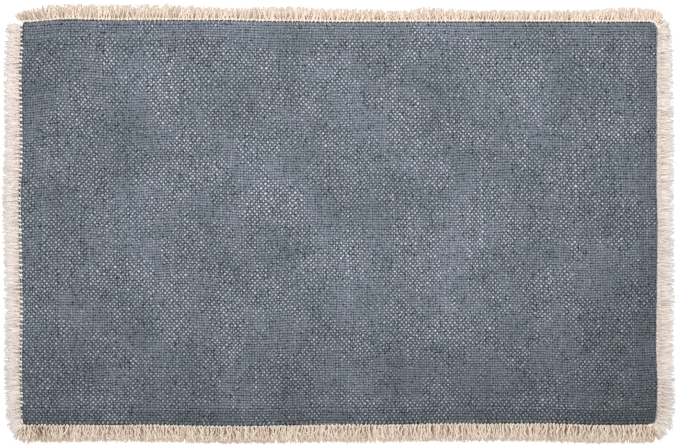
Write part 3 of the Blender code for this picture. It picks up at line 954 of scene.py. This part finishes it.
# Lower layers in darker shades: painted shade among the yarns; the top layer lighter.
FAR_LAYERS = rows_of(
    Layer,
    (0.0007, 0.84, 0.0007, 0.0005, 0.00050, 1, 0.12, 0.9, 0, 0.0, 0.0010, -0.30, 0.55, 0),
    (0.0014, 1.03, 0.0013, 0.0007, 0.00030, 2, 0.48, 0.9, 8, 0.5, 0.0009, 0.45, 0.95, 0.06),
    (0.0016, 0.99, 0.0018, 0.0011, 0.00030, 2, 0.60, 0.9, 9, 0.6, 0.0009, 0.64, 1.05, 0.06))
cut_fringe(
    Trim(FAR, begins=-0.2374, stops=0.2500, cuts=FAR_CUTS, layers=FAR_LAYERS,
         brush=Brush(spacing=0.00030, starts=(0.62, 0.95), stops=(1.00, 1.24), fan=0.32),
         heading=Heading(out=0.0020, level=0.0013, strand=0.00050, swing=0.0003, rise=0.0003,
                         rises=1, lay=0.0067, strands=2, shade=0.95),
         heads=Heads(pitch=0.0030, root=0.0018, start=0.0005, stop=0.0031, waver=0.0009,
                     level=0.0019, thread=0.00066, slant=0.0003, shade=1.25),
         strays=(Stray(-0.2163, 0.0158, 12), Stray(-0.2190, 0.0150, -8),
                 Stray(0.2180, 0.0140, 20))),
    raw_cotton("raw_cotton_far", deep=(0.33, 0.20, 0.12), pale=(1.0, 0.87, 0.745),
               tip=(0.86, 0.80, 0.75), bed=0.5), seed=21)


# ------------------------ right fringe
# A paler trim of undyed cotton with finer, straighter yarns, sewn behind a narrow flat braid
# that lies along the selvedge. Its last yarns fan down past the near right corner.
RIGHT_CUTS = rows_of(
    Cut, (-0.146, 0.0112, 0), (-0.120, 0.0128, 0), (-0.060, 0.0138, 3), (0.000, 0.0130, -2),
    (0.060, 0.0138, 2), (0.110, 0.0138, 4), (0.118, 0.0139, 6), (0.124, 0.0141, 7, 0.18),
    (0.133, 0.0145, 10, 0.18), (0.139, 0.0147, 12), (0.157, 0.0150, 24))
# Lower layers in darker shades: painted shade among the yarns; the top layer lighter.
RIGHT_LAYERS = rows_of(
    Layer,
    (0.0007, 0.85, 0.0009, 0.0005, 0.00050, 1, 0.10, 0.9, 0, 0.0, 0.0010, 0.15, 0.90, 0),
    (0.0013, 1.03, 0.0013, 0.0007, 0.00026, 2, 0.34, 0.9, 8, 0.5, 0.0009, 0.24, 1.04, 0.10),
    (0.0015, 0.98, 0.0016, 0.0010, 0.00026, 2, 0.42, 0.9, 9, 0.6, 0.0010, 0.64, 1.22, 0.10))
cut_fringe(
    Trim(RIGHT, begins=-0.1494, stops=0.1556, cuts=RIGHT_CUTS, layers=RIGHT_LAYERS,
         brush=Brush(spacing=0.00034, starts=(0.60, 0.95), stops=(0.98, 1.22), fan=0.24),
         heading=Heading(out=0.0026, level=0.0017, strand=0.00040, swing=0.0011, rise=0.0004,
                         rises=2, lay=0.0062, strands=3, shade=0.66),
         heads=Heads(pitch=0.0030, root=0.0010, start=0.0010, stop=0.0021, waver=0.0006,
                     level=0.0020, thread=0.00046, slant=0.0003, shade=1.35),
         strays=(Stray(0.1495, 0.0175, 16), Stray(0.0460, 0.0165, 8),
                 Stray(-0.1380, 0.0150, -14))),
    raw_cotton("raw_cotton_right", deep=(0.37, 0.25, 0.185), pale=(1.0, 0.925, 0.865),
               tip=(0.93, 0.91, 0.90), bed=0.62), seed=22)


# ------------------------ near fringe
# The fullest trim: thick two-ply yarns of undyed cotton, curly and marled, packed side by side
# against the near hem between the two side fringes.
NEAR_CUTS = rows_of(
    Cut, (-0.244, 0.0132, -6), (-0.225, 0.0148, -4), (-0.200, 0.0148, 3), (-0.120, 0.0142, -3),
    (0.000, 0.0142, 3), (0.100, 0.0140, -2), (0.180, 0.0136, 4), (0.214, 0.0139, 5),
    (0.219, 0.0139, 5, 0.45), (0.226, 0.0140, 6, 0.4), (0.230, 0.0140, 6), (0.244, 0.0138, 4))
# Lower layers in darker shades: painted shade among the yarns; the top layer lighter.
NEAR_LAYERS = rows_of(
    Layer,
    (0.0008, 0.99, 0.0007, 0.0005, 0.00052, 1, 0.12, 0.9, 0, 0.0, 0.0006, 0.00, 0.64, 0),
    (0.00122, 1.08, 0.0013, 0.0007, 0.00031, 2, 0.65, 1.6, 8, 0.12, 0.0006, 0.15, 1.02, 0.26),
    (0.00128, 1.06, 0.0020, 0.0013, 0.00029, 2, 0.95, 1.7, 9, 0.16, 0.0006, 0.90, 1.24, 0.30))
cut_fringe(
    Trim(NEAR, begins=-0.2392, stops=0.2388, cuts=NEAR_CUTS, layers=NEAR_LAYERS,
         brush=Brush(spacing=0.00065, starts=(0.84, 1.00), stops=(1.02, 1.14), fan=0.32),
         # a darker heading under the stitches: painted shade between them
         heading=Heading(out=0.0022, level=0.0008, strand=0.00050, swing=0.0003, rise=0.0003,
                         rises=1, lay=0.0062, strands=2, shade=0.5),
         heads=Heads(pitch=0.0027, root=0.0013, start=0.0005, stop=0.0026, waver=0.0012,
                     level=0.0022, thread=0.00062, slant=0.0012, shade=1.22),
         strays=(Stray(0.2285, 0.0188, 26), Stray(-0.2285, 0.0172, -40),
                 Stray(-0.2200, 0.0160, -20))),
    raw_cotton("raw_cotton_near", deep=(0.26, 0.105, 0.044), pale=(1.0, 0.865, 0.705),
               tip=(1.0, 0.88, 0.77), bed=0.42), seed=23)


# ------------------------ left fringe
# A pale trim of fine undyed yarns, whipped to the selvedge with thick white thread, each stitch
# a round bump. It fans round the near left corner.
LEFT_CUTS = rows_of(
    Cut, (-0.157, 0.0120, -24), (-0.138, 0.0130, -12), (-0.100, 0.0132, -4),
    (-0.030, 0.0132, 3), (0.035, 0.0140, -3), (0.090, 0.0134, 2), (0.125, 0.0132, 0),
    (0.150, 0.0124, -2))
# Lower layers in darker shades: painted shade among the yarns; the top layer lighter.
LEFT_LAYERS = rows_of(
    Layer,
    (0.0007, 0.88, 0.0007, 0.0005, 0.00050, 1, 0.10, 0.9, 0, 0.0, 0.0010, 0.05, 0.85, 0),
    (0.0013, 1.03, 0.0012, 0.0007, 0.00026, 2, 0.34, 0.9, 6, 0.5, 0.0009, 0.60, 0.93, 0.06),
    (0.0014, 0.99, 0.0016, 0.0010, 0.00026, 2, 0.42, 0.9, 7, 0.5, 0.0010, 0.70, 1.02, 0.06))
cut_fringe(
    Trim(LEFT, begins=-0.1548, stops=0.1495, cuts=LEFT_CUTS, layers=LEFT_LAYERS,
         brush=Brush(spacing=0.00036, starts=(0.60, 0.95), stops=(0.98, 1.20), fan=0.26),
         # a heading of shade 0, in the deep colour: painted shade in the holes between the
         # stitches
         heading=Heading(out=0.0012, level=0.0008, strand=0.00045, swing=0.0005, rise=0.0002,
                         rises=1, lay=0.0068, strands=2, shade=0.0),
         heads=Heads(pitch=0.0034, root=0.0017, start=-0.0006, stop=0.0017, waver=0.0008,
                     level=0.0022, thread=0.00088, slant=0.0006, shade=1.40),
         strays=(Stray(0.0300, 0.0160, -10), Stray(-0.0800, 0.0158, 12),
                 Stray(0.1420, 0.0150, 8))),
    raw_cotton("raw_cotton_left", deep=(0.44, 0.34, 0.29), pale=(1.0, 0.92, 0.865),
               tip=(0.90, 0.88, 0.87), bed=0.78), seed=24)


# ------------------------ seam shadow thread
# A near-black thread in the groove between the trims and the cloth stands for the shadow there:
# painted shadow. It lies low in that groove, in one run along each side.
Seam = namedtuple("Seam", "side begins stops out level")
SEAMS = rows_of(
    Seam, (FAR, -0.2340, 0.2340, 0.0010, 0.0016), (RIGHT, -0.1440, 0.1440, 0.0003, 0.0010),
    (NEAR, -0.2340, 0.2340, 0.0009, 0.0016), (LEFT, -0.1440, 0.1440, 0.0008, 0.0013))
SEAM_SHADOW_THREAD = 0.00036
SEAM_WANDER = (0.00015, 0.0002)  # out of its line, and up and down
# near black: painted shadow in the groove
SEAM_SHADOW_COLOUR = (0.020, 0.021, 0.022)
THREAD_RELIEF = 0.0001
THREAD_ROUGHNESS = 0.9


def seam_shadow_thread():
    strands = Strands()
    for seam in SEAMS:
        points = []
        for along, point, outward in along_edge(seam):
            astray = noise.noise((along * 300, 1.7, seam.out * 1000))
            plan = point + outward * (seam.out + SEAM_WANDER[0] * astray)
            lift = SEAM_WANDER[1] * noise.noise((along * 500, 4.4, 0.0))
            points.append((plan.x, plan.y, seam.level + lift))
        strands.add(points, SEAM_SHADOW_THREAD, 0.0, 0.0)
    return strands.mesh("seam_shadow_thread")


# A matt near-black thread: painted shadow in the groove between the trims and the cloth.
seam_shadow_material = new_material("painted_seam_shadow")
wire = Wiring(seam_shadow_material.node_tree)
fibre = wire.use(spun_fibre_effect, Fineness=FIBRE_FINENESS)["Fibre"]
wire.finish(SEAM_SHADOW_COLOUR, fibre, THREAD_RELIEF, THREAD_ROUGHNESS)
seam_shadow_piece = new_piece("seam_shadow_thread", seam_shadow_thread(), seam_shadow_material)
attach(seam_shadow_piece, "root")


# ------------------------ hem stitches
# Blue-grey cotton thread, a little paler than the cloth, holds both hems down in one long row
# each, of short stitches sunk at their ends.
STITCH_ROWS = ((FAR, 0.0104), (NEAR, 0.0106))  # how far in from the edge
ROW_LENGTH = PANEL_LENGTH - 0.006  # 3 mm short of both selvedges
STITCH_THREAD = 0.00026
STITCH_PITCH = 0.0028
STITCH_SHARE = 0.55  # of the pitch that shows as thread on the face
# A stitch from end to end, in shares of its half, and how deep it is sunk there.
STITCH_SINK = ((-1.0, 0.0003), (-0.6, -0.0001), (0.0, -0.0002), (0.6, -0.0001), (1.0, 0.0003))
DEEP_THREAD = (0.30, 0.34, 0.40)
PALE_THREAD = (0.56, 0.60, 0.66)


def hem_stitches():
    chance = random.Random(31)
    face = BVHTree.FromObject(cloth, bpy.context.evaluated_depsgraph_get())
    strands = Strands()
    count = round(ROW_LENGTH / STITCH_PITCH)
    for side, inset in STITCH_ROWS:
        for i in range(count):
            middle = (i + 0.5 - count / 2) * STITCH_PITCH + chance.uniform(-0.0004, 0.0004)
            half = STITCH_PITCH * STITCH_SHARE / 2 * chance.uniform(0.8, 1.2)
            aside = inset + chance.uniform(-0.00025, 0.00025)
            points = []
            for share, sunk in STITCH_SINK:
                point, outward = edge.place(side, middle + half * share)
                plan = point - outward * aside
                top = face.ray_cast(Vector((plan.x, plan.y, 0.02)), Vector((0, 0, -1)))[0]
                points.append((plan.x, plan.y, top.z - sunk))
            strands.add(points, STITCH_THREAD, chance.random(), 0.5)
    return strands.mesh("hem_stitches")


hem_thread = new_material("hem_thread")
wire = Wiring(hem_thread.node_tree)
fibre = wire.use(spun_fibre_effect, Fineness=FIBRE_FINENESS)["Fibre"]
thread_colour = wire.blend(wire.attribute("shade"), DEEP_THREAD, PALE_THREAD)
wire.finish(thread_colour, fibre, THREAD_RELIEF, THREAD_ROUGHNESS)
stitches = new_piece("hem_stitches", hem_stitches(), hem_thread)
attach(stitches, "root")


# ------------------------ table and lights
# A plain white table that the camera sees as paper white, a broad soft lamp beyond the far
# side, and even light from all round.
TABLE_GLOW = 0.45
LAMP_PLACE = (0.02, 0.36, 0.80)
LAMP_POWER = 4.9
SKY_STRENGTH = 0.57

form = bmesh.new()
bmesh.ops.create_grid(form, x_segments=1, y_segments=1, size=3.0)
table_mesh = bpy.data.meshes.new("table")
form.to_mesh(table_mesh)
form.free()
white = new_material("white_table")
paint = white.node_tree.nodes["Principled BSDF"]
paint.inputs["Base Color"].default_value = (0.9, 0.9, 0.9, 1)
paint.inputs["Roughness"].default_value = 1.0
paint.inputs["Emission Color"].default_value = (1, 1, 1, 1)
paint.inputs["Emission Strength"].default_value = TABLE_GLOW
table = new_piece("table", table_mesh, white)

lamp = bpy.data.lights.new("far lamp", "AREA")
lamp.shape = "RECTANGLE"
lamp.size = 0.6
lamp.size_y = 0.4
lamp.energy = LAMP_POWER
far_lamp = bpy.data.objects.new("far lamp", lamp)
far_lamp.location = LAMP_PLACE
far_lamp.rotation_euler = (-Vector(LAMP_PLACE)).to_track_quat("-Z", "Y").to_euler()
bpy.context.scene.collection.objects.link(far_lamp)

sky = bpy.data.worlds.new("even light")
sky.use_nodes = True
background = sky.node_tree.nodes["Background"]
background.inputs["Color"].default_value = (1, 1, 1, 1)
background.inputs["Strength"].default_value = SKY_STRENGTH
bpy.context.scene.world = sky
bpy.context.scene.view_settings.view_transform = "Standard"
